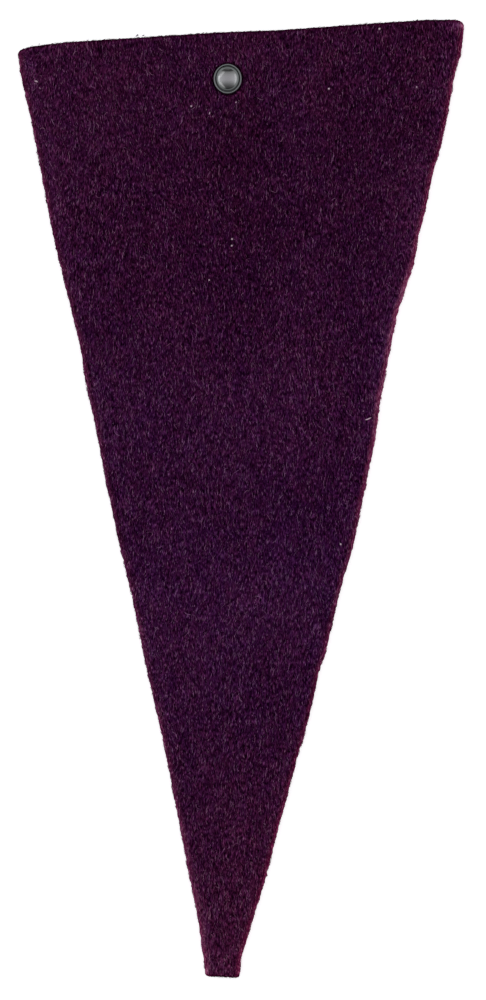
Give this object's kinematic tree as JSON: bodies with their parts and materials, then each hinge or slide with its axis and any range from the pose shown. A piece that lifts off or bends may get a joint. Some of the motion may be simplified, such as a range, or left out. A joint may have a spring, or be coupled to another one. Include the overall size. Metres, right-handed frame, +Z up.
{
  "type": "pennant flag",
  "caption": "Long tapered pennant cut from one piece of thick purple wool felt with raw edges, lying flat face up, with a domed metal stud near the middle of its wide end.",
  "frame": {"origin": "middle of the outline, on the surface that the pennant lies on", "axes": "+X to the right across the panel seen from above with the wide end up, +Y from the tip towards the wide end, +Z up out of the face"},
  "size_m": [0.1878, 0.4026, 0.0044],
  "materials": {
    "felt": "thick dark purple wool felt with a brushed nap and lighter raspberry cut edges",
    "stud_metal": "satin grey nickel plate"
  },
  "bodies": {
    "root": {"felt_panel": "felt", "stud_cap": "stud_metal", "stud_post": "stud_metal"}
  },
  "joints": []
}
